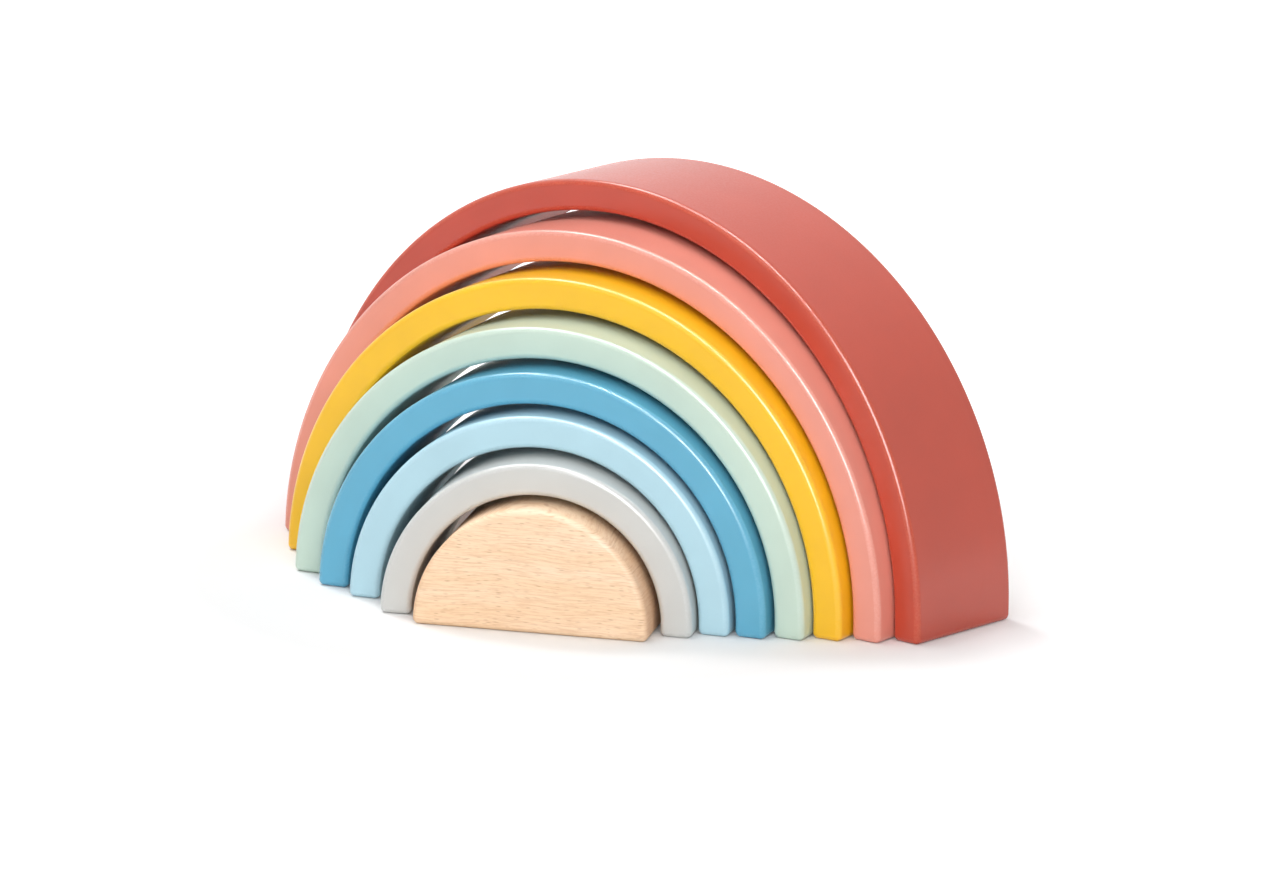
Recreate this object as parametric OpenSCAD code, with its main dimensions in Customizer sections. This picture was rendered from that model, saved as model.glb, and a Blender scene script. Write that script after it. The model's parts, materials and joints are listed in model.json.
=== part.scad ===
// Rainbow stacker: seven painted half-ring arches nested round a plain beech half disc.
// Each piece is drawn forward out of the one outside it and turned a few degrees, so the set
// stands fanned out. Millimetres, +Z up, the front faces -Y, and the origin is in the middle
// of the footprint, on the table.

/* [Pieces] */
// Outer radius of the largest arch
outer_r = 130; // [115:1:200]
// Thickness of every arch, from its outside to its inside
wall = 10.5; // [8:0.5:13]
// Room between an arch and the piece inside it, all round
gap = 2.5; // [1.5:0.1:4]
// Depth of every piece, from front to back
depth = 50; // [30:1:80]
// Radius of the rounded edges and corners
edge_r = 2; // [0.5:0.1:3]

/* [Drawn forward, in mm] */
// Pink arch out of the red one
pink_draw = 20.5; // [0:0.5:40]
// Yellow arch out of the pink one
yellow_draw = 13.5; // [0:0.5:40]
// Mint arch out of the yellow one
mint_draw = 15; // [0:0.5:40]
// Blue arch out of the mint one
blue_draw = 9; // [0:0.5:40]
// Light blue arch out of the blue one
light_blue_draw = 6; // [0:0.5:40]
// Grey arch out of the light blue one
grey_draw = 11.5; // [0:0.5:40]
// Core out of the grey arch
core_draw = 10; // [0:0.5:40]

/* [Turned, in percent of the turn that the gap allows] */
// Pink arch against the red one
pink_turn = 100; // [0:5:100]
// Yellow arch against the pink one
yellow_turn = 75; // [0:5:100]
// Mint arch against the yellow one
mint_turn = 95; // [0:5:100]
// Blue arch against the mint one
blue_turn = 60; // [0:5:100]
// Light blue arch against the blue one
light_blue_turn = 60; // [0:5:100]
// Grey arch against the light blue one
grey_turn = 90; // [0:5:100]
// Core against the grey arch
core_turn = 10; // [0:5:100]

/* [Hidden] */
$fn = 96;
// least room left between two pieces where a turned one comes closest to its neighbour
clear = 0.3;
pitch = wall + gap;
// pieces are counted inwards: 0 is the red arch and last is the core
draws = [0, pink_draw, yellow_draw, mint_draw, blue_draw, light_blue_draw, grey_draw, core_draw];
turns = [0, pink_turn, yellow_turn, mint_turn, blue_turn, light_blue_turn, grey_turn, core_turn];
last = len(draws) - 1;

// outer radius of a piece
function radius(i) = outer_r - i * pitch;
// the turn that takes a piece to within the clearance of the arch outside it, about the middle
// of the depth that the two share
function full_turn(i) =
    let (
        half_overlap = (depth - draws[i]) / 2,
        room = radius(i) + gap - clear,
        reach = norm([room, half_overlap])
    )
    acos(radius(i) / reach) - atan2(half_overlap, room);
// direction that a piece faces, counted from the red arch
function heading(i) = i == 0 ? 0 : heading(i - 1) + turns[i] / 100 * full_turn(i);
// unit vector out of the front of a piece
function forward(i) = [sin(heading(i)), -cos(heading(i))];
// middle of a piece in plan: it is drawn half the way along the outer arch's line and half the
// way along its own, so both lines cross in the middle of the depth that they share
function middle(i) =
    i == 0 ? [0, 0] : middle(i - 1) + draws[i] / 2 * (forward(i - 1) + forward(i));
// half the size of a piece's rounded footprint along X and along Y
function half_x(i) =
    (radius(i) - edge_r) * cos(heading(i)) + (depth / 2 - edge_r) * abs(sin(heading(i))) + edge_r;
function half_y(i) =
    (radius(i) - edge_r) * abs(sin(heading(i))) + (depth / 2 - edge_r) * cos(heading(i)) + edge_r;

pieces = [0:last];
lowest = [
    min([for (i = pieces) middle(i).x - half_x(i)]),
    min([for (i = pieces) middle(i).y - half_y(i)])
];
highest = [
    max([for (i = pieces) middle(i).x + half_x(i)]),
    max([for (i = pieces) middle(i).y + half_y(i)])
];
centre = (lowest + highest) / 2;

// quarter of a disc in the first quadrant
module quarter(r) {
    intersection() {
        circle(r);
        square(r);
    }
}

// rectangle with rounded corners, from x = 0 to w and centred on y = 0
module section(w, d, r) {
    translate([r, -d / 2]) square([w - 2 * r, d]);
    translate([0, r - d / 2]) square([w, d - 2 * r]);
    for (sx = [-1, 1], sy = [-1, 1])
        translate([w / 2 + sx * (w / 2 - r), sy * (d / 2 - r)])
            mirror([1 - sx, 0])
                mirror([0, 1 - sy])
                    quarter(r);
}

// rounded underside of a foot that is w wide and d deep, below z = 0
module foot(w, d, r) {
    a = w / 2 - r;
    b = d / 2 - r;
    translate([-a, -b, -r]) cube([2 * a, 2 * b, r]);
    for (s = [-1, 1]) {
        translate([0, s * b, 0])
            rotate([90, 0, s * 90])
                linear_extrude(2 * a, center = true)
                    mirror([0, 1]) quarter(r);
        translate([s * a, 0, 0])
            rotate([90, 0, 90 - s * 90])
                linear_extrude(2 * b, center = true)
                    mirror([0, 1]) quarter(r);
        for (t = [-1, 1])
            translate([s * a, t * b, 0])
                mirror([1 - s, 0, 0])
                    mirror([0, 1 - t, 0])
                        rotate_extrude(angle = 90)
                            mirror([0, 1]) quarter(r);
    }
}

// stands a piece in its place in the fan
module placed(i) {
    translate([middle(i).x - centre.x, middle(i).y - centre.y, edge_r])
        rotate([0, 0, heading(i)])
            children();
}

// half ring standing on two feet
module arch(i) {
    placed(i) {
        rotate([90, 0, 0])
            rotate_extrude(angle = 180)
                translate([radius(i) - wall, 0]) section(wall, depth, edge_r);
        for (s = [-1, 1])
            translate([s * (radius(i) - wall / 2), 0, 0]) foot(wall, depth, edge_r);
    }
}

module red_arch() {
    color("#c1564a") arch(0);
}

module pink_arch() {
    color("#f3a08c") arch(1);
}

module yellow_arch() {
    color("#f2b632") arch(2);
}

module mint_arch() {
    color("#b5d8c3") arch(3);
}

module blue_arch() {
    color("#3f8fbd") arch(4);
}

module light_blue_arch() {
    color("#a5d5ef") arch(5);
}

module grey_arch() {
    color("#c6c6c4") arch(6);
}

// half disc that lies flat on its cut side
module core() {
    color("#efcfa4")
        placed(last) {
            rotate([90, 0, 0])
                rotate_extrude(angle = 180)
                    intersection() {
                        translate([-radius(last), 0]) section(2 * radius(last), depth, edge_r);
                        translate([0, -depth]) square([2 * radius(last), 2 * depth]);
                    }
            foot(2 * radius(last), depth, edge_r);
        }
}

red_arch();
pink_arch();
yellow_arch();
mint_arch();
blue_arch();
light_blue_arch();
grey_arch();
core();
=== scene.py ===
import bmesh
import bpy
import json
import math
from mathutils import Matrix, Vector


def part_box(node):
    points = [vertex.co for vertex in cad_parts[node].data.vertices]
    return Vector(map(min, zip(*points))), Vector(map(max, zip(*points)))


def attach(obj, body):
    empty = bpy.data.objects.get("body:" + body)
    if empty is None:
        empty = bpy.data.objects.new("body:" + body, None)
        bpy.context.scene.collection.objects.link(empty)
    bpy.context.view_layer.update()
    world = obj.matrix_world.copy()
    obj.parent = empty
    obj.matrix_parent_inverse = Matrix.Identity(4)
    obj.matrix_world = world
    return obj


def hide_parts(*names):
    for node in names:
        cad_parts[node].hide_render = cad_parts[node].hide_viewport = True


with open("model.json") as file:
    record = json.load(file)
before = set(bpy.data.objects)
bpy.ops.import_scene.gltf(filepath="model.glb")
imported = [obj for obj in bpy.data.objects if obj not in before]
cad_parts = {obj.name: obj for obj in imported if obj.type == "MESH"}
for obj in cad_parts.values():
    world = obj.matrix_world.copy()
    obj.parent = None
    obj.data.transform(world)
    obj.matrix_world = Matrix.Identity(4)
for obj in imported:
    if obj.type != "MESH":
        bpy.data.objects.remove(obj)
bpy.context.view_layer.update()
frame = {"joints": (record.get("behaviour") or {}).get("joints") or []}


# Red arch: the largest half ring, sawn from a 50 mm beech board, its edges rounded over with a
# small cutter, sanded and sprayed all over with terracotta satin acrylic. It stands free on its
# two feet, and the other pieces nest inside it.

depth = 0.050
wall = 0.0105
edge_r = 0.002
red_outer = 0.130
# edges that turn by more than this, in radians, are rounded, in so many steps
sharp_turn = 0.8
round_steps = 8
# steps in the curve of an arch
arch_steps = 120
# lengths that differ by less than this count as the same
hair = 0.000001
# a face lines the hollow where its normal dotted with the radius is below this
hollow_facing = -0.9
# the share of its colour that paint keeps in its clouds, and in a hollow, where the darker colour
# is painted shade
cloud_tone = 0.93
hollow_painted_shade = 0.75
mm_per_m = 1000


def heading_of(node):
    """The turn of a piece about the vertical, from the line it is drawn out along."""
    for joint in frame["joints"]:
        if joint["child"] == node:
            return math.atan2(joint["axis"][0], -joint["axis"][1])
    return 0.0


def middle_of(node):
    """The middle of a piece's footprint, on the table."""
    low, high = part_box(node)
    return Vector(((low.x + high.x) / 2, (low.y + high.y) / 2, 0))


def stand(node, bm):
    """Makes the finished bmesh an object where the piece of that name stands in the fan."""
    turn = Matrix.Rotation(heading_of(node), 4, "Z")
    place = Matrix.Translation(middle_of(node))
    bmesh.ops.transform(bm, matrix=place @ turn, verts=bm.verts)
    mesh = bpy.data.meshes.new(node + "_wood")
    bm.to_mesh(mesh)
    bm.free()
    mesh.shade_smooth()
    piece = bpy.data.objects.new(node + "_wood", mesh)
    bpy.context.scene.collection.objects.link(piece)
    flat = piece.modifiers.new("flat_faces", "WEIGHTED_NORMAL")
    flat.keep_sharp = True
    flat.weight = 100
    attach(piece, node)
    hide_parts(node)
    return piece


def round_over(bm):
    """Lowers the underside to the table and rounds every sharp edge. Points on the round are
    marked with one, and all others with zero."""
    for vert in bm.verts:
        if vert.co.z < edge_r + hair:
            vert.co.z = 0
    bmesh.ops.recalc_face_normals(bm, faces=bm.faces)
    sharp = [e for e in bm.edges if len(e.link_faces) == 2 and e.calc_face_angle() > sharp_turn]
    rounded = bmesh.ops.bevel(
        bm, geom=sharp, offset=edge_r, offset_type="OFFSET", segments=round_steps, profile=0.5,
        affect="EDGES", material=-1, clamp_overlap=False,
    )
    bmesh.ops.recalc_face_normals(bm, faces=bm.faces)
    edge = bm.verts.layers.float.new("edge")
    round_faces = set(rounded["faces"])
    for vert in bm.verts:
        vert[edge] = 1.0 if round_faces.issuperset(vert.link_faces) else 0.0


def half_ring(node, outer):
    """A half ring standing on its feet: the foot's outline spun over half a turn."""
    bm = bmesh.new()
    inner = outer - wall
    outline = ((inner, -depth / 2), (outer, -depth / 2), (outer, depth / 2), (inner, depth / 2))
    corners = [bm.verts.new((x, y, edge_r)) for x, y in outline]
    foot = bm.faces.new(corners)
    bmesh.ops.spin(
        bm, geom=corners + list(foot.edges) + [foot], cent=(0, 0, edge_r), axis=(0, -1, 0),
        angle=math.pi, steps=arch_steps, use_duplicate=False,
    )
    round_over(bm)
    for face in bm.faces:
        outwards = face.calc_center_median() - Vector((0, 0, edge_r))
        outwards.y = 0
        if face.normal.dot(outwards.normalized()) < hollow_facing:
            face.material_index = 1
    return stand(node, bm)


def linear(code):
    """A linear colour from an sRGB hex code."""
    parts = [int(code[k:k + 2], 16) / 255 for k in (1, 3, 5)]
    return [p / 12.92 if p <= 0.04045 else ((p + 0.055) / 1.055) ** 2.4 for p in parts] + [1]


def add(tree, kind, links=None, **settings):
    """Adds a node with its settings, and links or sets its inputs by name."""
    made = tree.nodes.new(kind)
    for name, value in settings.items():
        setattr(made, name, value)
    for name, value in (links or {}).items():
        if isinstance(value, bpy.types.NodeSocket):
            tree.links.new(value, made.inputs[name])
        else:
            made.inputs[name].default_value = value
    return made


def times(tree, first, second):
    """The product of two values."""
    made = add(tree, "ShaderNodeMath", {0: first, 1: second}, operation="MULTIPLY")
    return made.outputs["Value"]


def blend(tree, factor, first, second):
    """A colour between two others."""
    made = add(tree, "ShaderNodeMix", {
        "Factor": factor, "A": first, "B": second}, data_type="RGBA")
    return made.outputs["Result"]


def stretch(tree, noise, low, high):
    """Stretches the middle of a noise, where most of its values lie, from low to high."""
    made = add(tree, "ShaderNodeMapRange", {
        "Value": noise, "From Min": 0.3, "From Max": 0.7, "To Min": low, "To Max": high})
    return made.outputs["Result"]


def grain_space(tree, node, shift=0.0):
    """Object coordinates in millimetres, turned so that X runs along the piece's own width. The
    shift, in millimetres, gives each piece a pattern of its own."""
    where = add(tree, "ShaderNodeTexCoord").outputs["Object"]
    centred = add(tree, "ShaderNodeMapping", {
        "Vector": where, "Location": -middle_of(node),
    }, vector_type="POINT")
    turned = add(tree, "ShaderNodeMapping", {
        "Vector": centred.outputs["Vector"], "Rotation": (0, 0, -heading_of(node)),
        "Scale": (mm_per_m, mm_per_m, mm_per_m), "Location": (shift, shift, shift),
    }, vector_type="POINT")
    return turned.outputs["Vector"]


def satin_paint(name, node, colour, thin_paint_and_edge_highlight, roughness, shift, lacquer=1.0, painted_shade_factor=1.0):
    """Sprayed acrylic over sanded beech, with a clear satin lacquer or dry. It gives the eye one
    even colour, a white line of light along the rounded edges that the spray texture breaks up,
    and a slightly thinner, paler coat of colour there, which is partly worn paint and partly a
    painted highlight on the edge lines. A shade factor below one darkens the colour as painted
    shade."""
    paint = bpy.data.materials.new(name)
    paint.use_nodes = True
    tree = paint.node_tree
    tree.nodes.clear()
    mm = grain_space(tree, node, shift)
    # soft clouds in the coat, about 25 mm across
    clouds = add(tree, "ShaderNodeTexNoise", {"Vector": mm, "Scale": 1 / 25, "Detail": 2.0})
    # spray texture, drawn at 0.7 mm, coarser than real so that it shows
    noise = add(tree, "ShaderNodeTexNoise", {"Vector": mm, "Scale": 1 / 0.7, "Detail": 2.0})
    texture = noise.outputs["Fac"]
    edge = add(tree, "ShaderNodeAttribute", attribute_name="edge")
    # a factor below one darkens the whole colour, as painted shade in the hollow
    full = [c * painted_shade_factor for c in linear(colour)[:3]]
    deep = [c * cloud_tone for c in full]
    body = blend(tree, stretch(tree, clouds.outputs["Fac"], 0.0, 1.0), deep + [1], full + [1])
    # paler, thinner paint along the rounded edges, broken by the spray texture: partly wear,
    # partly a painted highlight on the edges
    rubbed_and_highlit_edge = times(tree, edge.outputs["Fac"], texture)
    coat = blend(tree, stretch(tree, rubbed_and_highlit_edge, 0.0, 0.2), body, linear(thin_paint_and_edge_highlight))
    rough = stretch(tree, texture, 0.38, 0.5)
    peel = add(tree, "ShaderNodeBump", {
        "Height": texture, "Strength": 0.3, "Distance": 0.00003})
    shader = add(tree, "ShaderNodeBsdfPrincipled", {
        "Base Color": coat, "Roughness": rough, "IOR": 1.47, "Specular IOR Level": 0.1,
        "Normal": peel.outputs["Normal"], "Coat Weight": lacquer, "Coat Roughness": roughness,
        "Coat IOR": 1.5, "Coat Normal": peel.outputs["Normal"],
    })
    add(tree, "ShaderNodeOutputMaterial", {"Surface": shader.outputs["BSDF"]})
    return paint


def spray(arch, node, name, colour, thin_paint_and_edge_highlight, roughness, shift):
    """Paints an arch: lacquered outside, and dry and duller in its hollow, out of the spray,
    where its colour is also darkened as painted shade.
    """
    arch.data.materials.append(satin_paint(
        name + "_satin_acrylic", node, colour, thin_paint_and_edge_highlight, roughness, shift))
    arch.data.materials.append(satin_paint(
        name + "_dry_acrylic_painted_shade", node, colour, thin_paint_and_edge_highlight, roughness, shift,
        lacquer=0.0, painted_shade_factor=hollow_painted_shade))


red_arch = half_ring("red_arch", red_outer)
spray(red_arch, "red_arch", "terracotta", "#c3462e", "#dd7b55", roughness=0.26, shift=0.0)


# Pink arch: the second half ring, of the same board, one wall and one gap smaller than the red
# one and sprayed with salmon satin acrylic. It stands loose inside the red one.

gap = 0.0025
pitch = wall + gap
pink_arch = half_ring("pink_arch", red_outer - pitch)
spray(pink_arch, "pink_arch", "salmon", "#ee9b8a", "#fbc4b4", roughness=0.24, shift=37.0)


# Yellow arch: the third half ring, sprayed with mustard satin acrylic.
# It stands loose inside the pink one.

yellow_arch = half_ring("yellow_arch", red_outer - 2 * pitch)
spray(yellow_arch, "yellow_arch", "mustard", "#fdc316", "#fed05a", roughness=0.28, shift=71.0)


# Mint arch: the fourth half ring, sprayed with pale mint satin acrylic.
# It stands loose inside the yellow one.

mint_arch = half_ring("mint_arch", red_outer - 3 * pitch)
spray(mint_arch, "mint_arch", "mint", "#cbdfcf", "#deece3", roughness=0.26, shift=113.0)


# Blue arch: the fifth half ring, sprayed with mid blue acrylic, the glossiest coat of the set,
# so its edges show a fine white line. It stands loose inside the mint one.

blue_arch = half_ring("blue_arch", red_outer - 4 * pitch)
spray(blue_arch, "blue_arch", "mid_blue", "#60afce", "#86c4de", roughness=0.2, shift=151.0)


# Light blue arch: the sixth half ring, sprayed with light blue satin acrylic.
# It stands loose inside the blue one, almost level with it.

light_blue_arch = half_ring("light_blue_arch", red_outer - 5 * pitch)
spray(light_blue_arch, "light_blue_arch", "light_blue", "#b6dbe8", "#cfebf6", roughness=0.26,
      shift=193.0)


# Grey arch: the seventh and smallest half ring, sprayed with light grey satin acrylic.
# It stands loose inside the light blue one and goes round the core.

grey_arch = half_ring("grey_arch", red_outer - 6 * pitch)
spray(grey_arch, "grey_arch", "light_grey", "#d0d1ce", "#e6e6e3", roughness=0.28, shift=229.0)


# Core: a half disc of the same beech board, left bare. It is finely sanded and rounded like the
# arches, and lies on its sawn flat side.

core_outer = red_outer - 7 * pitch
# steps in the full circle that the half disc is cut from
disc_steps = 192


def half_disc(node, outer):
    """A half disc on its flat side: a half round outline drawn out over the depth."""
    bm = bmesh.new()
    bmesh.ops.create_circle(bm, cap_ends=True, radius=outer, segments=disc_steps)
    bmesh.ops.bisect_plane(
        bm, geom=bm.verts[:] + bm.edges[:] + bm.faces[:], plane_co=(0, 0, 0),
        plane_no=(0, -1, 0), clear_outer=True, dist=hair,
    )
    drawn = bmesh.ops.extrude_face_region(bm, geom=bm.faces[:])
    moved = [g for g in drawn["geom"] if isinstance(g, bmesh.types.BMVert)]
    bmesh.ops.translate(bm, vec=(0, 0, depth), verts=moved)
    upright = Matrix.Translation((0, depth / 2, edge_r)) @ Matrix.Rotation(math.pi / 2, 4, "X")
    bmesh.ops.transform(bm, matrix=upright, verts=bm.verts)
    round_over(bm)
    return stand(node, bm)


def bare_beech(name, node):
    """Flat-sawn beech, planed and sanded. It gives the eye a warm pale wood with fine lines
    along the grain and the short dark flecks of its rays, which run back into the wood."""
    wood = bpy.data.materials.new(name)
    wood.use_nodes = True
    tree = wood.node_tree
    tree.nodes.clear()
    mm = grain_space(tree, node)
    # slow drift of the grain, about 40 mm, so that its lines aren't ruled
    drift = add(tree, "ShaderNodeTexNoise", {"Vector": mm, "Scale": 1 / 40, "Detail": 1.0})
    bent = add(tree, "ShaderNodeVectorMath", {
        0: drift.outputs["Color"], 1: (0.0, 0.0, 5.0)}, operation="MULTIPLY")
    moved = add(tree, "ShaderNodeVectorMath", {0: mm, 1: bent.outputs["Vector"]}, operation="ADD")
    flow = moved.outputs["Vector"]
    # year rings seen flat: broad soft bands about 7 mm apart
    wide = add(tree, "ShaderNodeMapping", {"Vector": flow, "Scale": (1 / 90, 1 / 30, 1 / 7)})
    bands = add(tree, "ShaderNodeTexNoise", {
        "Vector": wide.outputs["Vector"], "Scale": 1.0, "Detail": 2.0})
    # pores: fine lines about 0.5 mm apart and 8 mm long
    fine = add(tree, "ShaderNodeMapping", {"Vector": flow, "Scale": (1 / 8, 1 / 6, 1 / 0.5)})
    pores = add(tree, "ShaderNodeTexNoise", {
        "Vector": fine.outputs["Vector"], "Scale": 1.0, "Detail": 3.0, "Roughness": 0.65})
    # rays: ribbons about 2 mm long and 0.35 mm thick that run some 30 mm into the wood, one in
    # each cell of 3.4 by 60 by 0.65 mm and some paler than others
    cells = add(tree, "ShaderNodeMapping", {"Vector": flow, "Scale": (1 / 3.4, 1 / 60, 1 / 0.65)})
    rays = add(tree, "ShaderNodeTexVoronoi", {
        "Vector": cells.outputs["Vector"], "Scale": 1.0}, feature="F1", distance="EUCLIDEAN")
    fleck = add(tree, "ShaderNodeMapRange", {
        "Value": rays.outputs["Distance"], "From Min": 0.1, "From Max": 0.4,
        "To Min": 1.0, "To Max": 0.0,
    }, interpolation_type="SMOOTHSTEP")
    chance = add(tree, "ShaderNodeSeparateColor", {"Color": rays.outputs["Color"]})
    some = add(tree, "ShaderNodeMapRange", {
        "Value": chance.outputs["Red"], "From Min": 0.15, "From Max": 0.9,
        "To Min": 0.0, "To Max": 1.0,
    })
    dark = times(tree, fleck.outputs["Result"], some.outputs["Result"])
    board = stretch(tree, bands.outputs["Fac"], 0.0, 1.0)
    ground = blend(tree, board, linear("#f7d2aa"), linear("#fde1c3"))
    lines = add(tree, "ShaderNodeMapRange", {
        "Value": pores.outputs["Fac"], "From Min": 0.44, "From Max": 0.64,
        "To Min": 0.0, "To Max": 0.6,
    })
    lined = blend(tree, lines.outputs["Result"], ground, linear("#e0b286"))
    flecked = blend(tree, times(tree, dark, 0.5), lined, linear("#b98456"))
    # end grain, where the round side cuts across the fibres, is browner
    facing = add(tree, "ShaderNodeVectorMath", {
        0: add(tree, "ShaderNodeTexCoord").outputs["Normal"],
        1: (math.cos(heading_of(node)), math.sin(heading_of(node)), 0),
    }, operation="DOT_PRODUCT")
    across = times(tree, facing.outputs["Value"], facing.outputs["Value"])
    cut = add(tree, "ShaderNodeMapRange", {
        "Value": across, "From Min": 0.1, "From Max": 1.0, "To Min": 0.0, "To Max": 0.5})
    ended = blend(tree, cut.outputs["Result"], flecked, linear("#dca47a"))
    rough = stretch(tree, pores.outputs["Fac"], 0.5, 0.62)
    nap = add(tree, "ShaderNodeBump", {
        "Height": pores.outputs["Fac"], "Strength": 0.4, "Distance": 0.00005})
    sunk = add(tree, "ShaderNodeBump", {
        "Height": dark, "Strength": 0.15, "Distance": 0.00002, "Normal": nap.outputs["Normal"],
    }, invert=True)
    shader = add(tree, "ShaderNodeBsdfPrincipled", {
        "Base Color": ended, "Roughness": rough, "IOR": 1.5, "Normal": sunk.outputs["Normal"]})
    add(tree, "ShaderNodeOutputMaterial", {"Surface": shader.outputs["BSDF"]})
    return wood


core = half_disc("core", core_outer)
core.data.materials.append(bare_beech("sanded_beech", "core"))


# Studio: a white sheet of card under the toy and white walls all round. Soft boxes light it from
# the right, overhead, the front and the left, a fill lights the backs, and two strips that show
# only in the gloss draw the lines of light on the edges. None of it is part of the toy.

card_half_width = 6.0
card_squares = 8
card_mesh = bpy.data.meshes.new("white_card")
bm = bmesh.new()
bmesh.ops.create_grid(
    bm, x_segments=card_squares, y_segments=card_squares, size=card_half_width)
bm.to_mesh(card_mesh)
bm.free()
card = bpy.data.objects.new("white_card", card_mesh)
bpy.context.scene.collection.objects.link(card)
paper = bpy.data.materials.new("matt_white_card")
paper.use_nodes = True
fibres = paper.node_tree
fibres.nodes.clear()


def seen_directly(tree):
    """One for what the camera sees, straight on, in a gloss or through glass, and else zero."""
    path = add(tree, "ShaderNodeLightPath")
    either = add(tree, "ShaderNodeMath", {
        0: path.outputs["Is Camera Ray"], 1: path.outputs["Is Glossy Ray"]}, operation="MAXIMUM")
    shown = add(tree, "ShaderNodeMath", {
        0: either.outputs["Value"], 1: path.outputs["Is Transmission Ray"]}, operation="MAXIMUM")
    return shown.outputs["Value"]


# the card is lifted to white, but only where it is seen, and least of all near the toy, so that
# it keeps the shadow
sheet = add(fibres, "ShaderNodeBsdfDiffuse", {"Color": (0.8, 0.8, 0.8, 1)})
spot = add(fibres, "ShaderNodeTexCoord").outputs["Object"]
off = add(fibres, "ShaderNodeVectorMath", {0: spot}, operation="LENGTH")
lifted = add(fibres, "ShaderNodeMapRange", {
    "Value": off.outputs["Value"], "From Min": 0.12, "From Max": 0.28,
    "To Min": 0.035, "To Max": 0.5,
})
lift = times(fibres, seen_directly(fibres), lifted.outputs["Result"])
bright = add(fibres, "ShaderNodeEmission", {"Color": (1, 1, 1, 1), "Strength": lift})
lit = add(fibres, "ShaderNodeAddShader", {
    0: sheet.outputs["BSDF"], 1: bright.outputs["Emission"]})
add(fibres, "ShaderNodeOutputMaterial", {"Surface": lit.outputs["Shader"]})
card.data.materials.append(paper)

walls = bpy.data.worlds.new("white_studio")
bpy.context.scene.world = walls
walls.use_nodes = True
room = walls.node_tree
room.nodes.clear()
glow = add(room, "ShaderNodeMapRange", {
    "Value": seen_directly(room), "To Min": 0.24, "To Max": 1.0})
backdrop = add(room, "ShaderNodeBackground", {
    "Color": (1, 1, 1, 1), "Strength": glow.outputs["Result"]})
add(room, "ShaderNodeOutputWorld", {"Surface": backdrop.outputs["Background"]})


def towards(azimuth, elevation):
    """The direction of a lamp or camera, from its degrees round from the front and up."""
    az = math.radians(azimuth)
    el = math.radians(elevation)
    return Vector((math.sin(az) * math.cos(el), -math.cos(az) * math.cos(el), math.sin(el)))


# the lamps face a point in the lower half of the toy
lamp_aim = Vector((0, 0, 0.05))


def soft_lamp(name, azimuth, elevation, distance, width, height, watts,
              in_matt=True, in_gloss=True):
    """A soft box that faces the toy, and shows in its matt colour, in its gloss or in both."""
    out = towards(azimuth, elevation)
    lamp = bpy.data.lights.new(name, "AREA")
    lamp.shape = "RECTANGLE"
    lamp.size = width
    lamp.size_y = height
    lamp.energy = watts
    box = bpy.data.objects.new(name, lamp)
    box.location = out * distance + lamp_aim
    box.rotation_mode = "QUATERNION"
    box.rotation_quaternion = (-out).to_track_quat("-Z", "Y")
    box.visible_diffuse = in_matt
    box.visible_glossy = in_gloss
    bpy.context.scene.collection.objects.link(box)


soft_lamp("right_soft_box", azimuth=44, elevation=30, distance=1.6,
          width=1.0, height=1.3, watts=15.4)
soft_lamp("overhead_soft_box", azimuth=-65, elevation=74, distance=1.6,
          width=0.5, height=0.5, watts=7.6)
soft_lamp("front_soft_box", azimuth=-12, elevation=40, distance=3.0,
          width=1.0, height=1.0, watts=6)
soft_lamp("left_soft_box", azimuth=-104, elevation=57, distance=3.0,
          width=0.8, height=0.8, watts=36)
soft_lamp("rear_fill", azimuth=190, elevation=24, distance=3.0,
          width=1.5, height=1.5, watts=18, in_gloss=False)
soft_lamp("low_strip", azimuth=44, elevation=30, distance=1.6,
          width=0.12, height=1.1, watts=30, in_matt=False)
soft_lamp("high_strip", azimuth=44, elevation=80, distance=1.6,
          width=0.12, height=1.3, watts=24, in_matt=False)

# the camera looks down a little from the toy's right, with a long lens and a slight tilt
camera_distance = 4.606
# the lens's focal length and the picture's width, both in pixels
focal_pixels = 14000
picture_pixels = 1280
sensor_mm = 36
away = towards(38.42, 13.68)
roll = math.radians(1.97)
# the middle of the picture is by the red arch's front
aim = Vector((0.0125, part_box("red_arch")[0].y - 0.0004, 0.0482))
lens = bpy.data.cameras.new("camera")
lens.sensor_width = sensor_mm
lens.lens = focal_pixels / picture_pixels * sensor_mm
lens.clip_end = 50
camera = bpy.data.objects.new("camera", lens)
camera.location = aim + away * camera_distance
camera.rotation_mode = "QUATERNION"
camera.rotation_quaternion = (
    (-away).to_track_quat("-Z", "Y") @ Matrix.Rotation(roll, 3, "Z").to_quaternion())
bpy.context.scene.collection.objects.link(camera)
bpy.context.scene.camera = camera

bpy.context.scene.view_settings.view_transform = "Standard"
